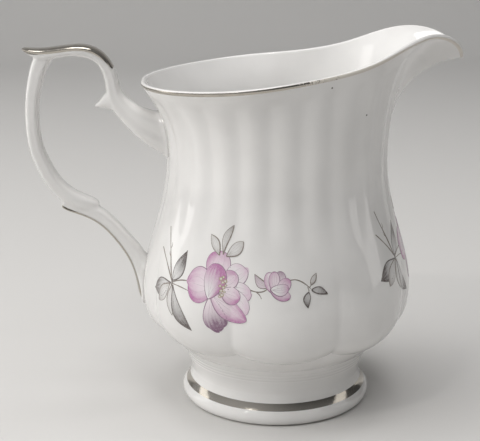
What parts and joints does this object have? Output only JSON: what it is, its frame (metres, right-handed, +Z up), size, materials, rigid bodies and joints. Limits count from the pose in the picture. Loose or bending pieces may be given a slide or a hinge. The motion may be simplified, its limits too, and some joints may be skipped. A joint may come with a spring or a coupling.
{
  "type": "cream jug",
  "caption": "Footed porcelain cream jug with a lobed belly, fluted neck, pulled spout, scrolled handle, platinum lines and printed flower sprays; holds and pours cream or milk.",
  "frame": {"origin": "on the jug's vertical axis, in the plane that the foot stands on", "axes": "+Z up, +X towards the spout, -X towards the handle, +Y to the left of the spout seen from behind the handle"},
  "size_m": [0.1234, 0.0786, 0.1074],
  "materials": {
    "porcelain_body": "clear glazed, glossy cool-white porcelain",
    "porcelain_foot": "clear glazed, glossy cool-white porcelain, bare clay on the standing ring",
    "porcelain_handle": "clear glazed, glossy cool-white porcelain",
    "slip_joint": "fired slip under the glaze",
    "platinum": "thin burnished platinum lustre, lightly worn",
    "floral_print": "mauve and grey overglaze print, fired smooth"
  },
  "bodies": {
    "root": {"jug_body": "porcelain_body", "rim_platinum_line": "platinum", "foot_ring": "porcelain_foot", "foot_platinum_band": "platinum", "foot_slip_joint": "slip_joint", "handle": "porcelain_handle", "handle_top_platinum": "platinum", "handle_back_platinum": "platinum", "upper_slip_joint": "slip_joint", "lower_slip_joint": "slip_joint", "flower_spray_near": "floral_print", "flower_spray_front": "floral_print", "flower_spray_far": "floral_print"}
  },
  "joints": []
}
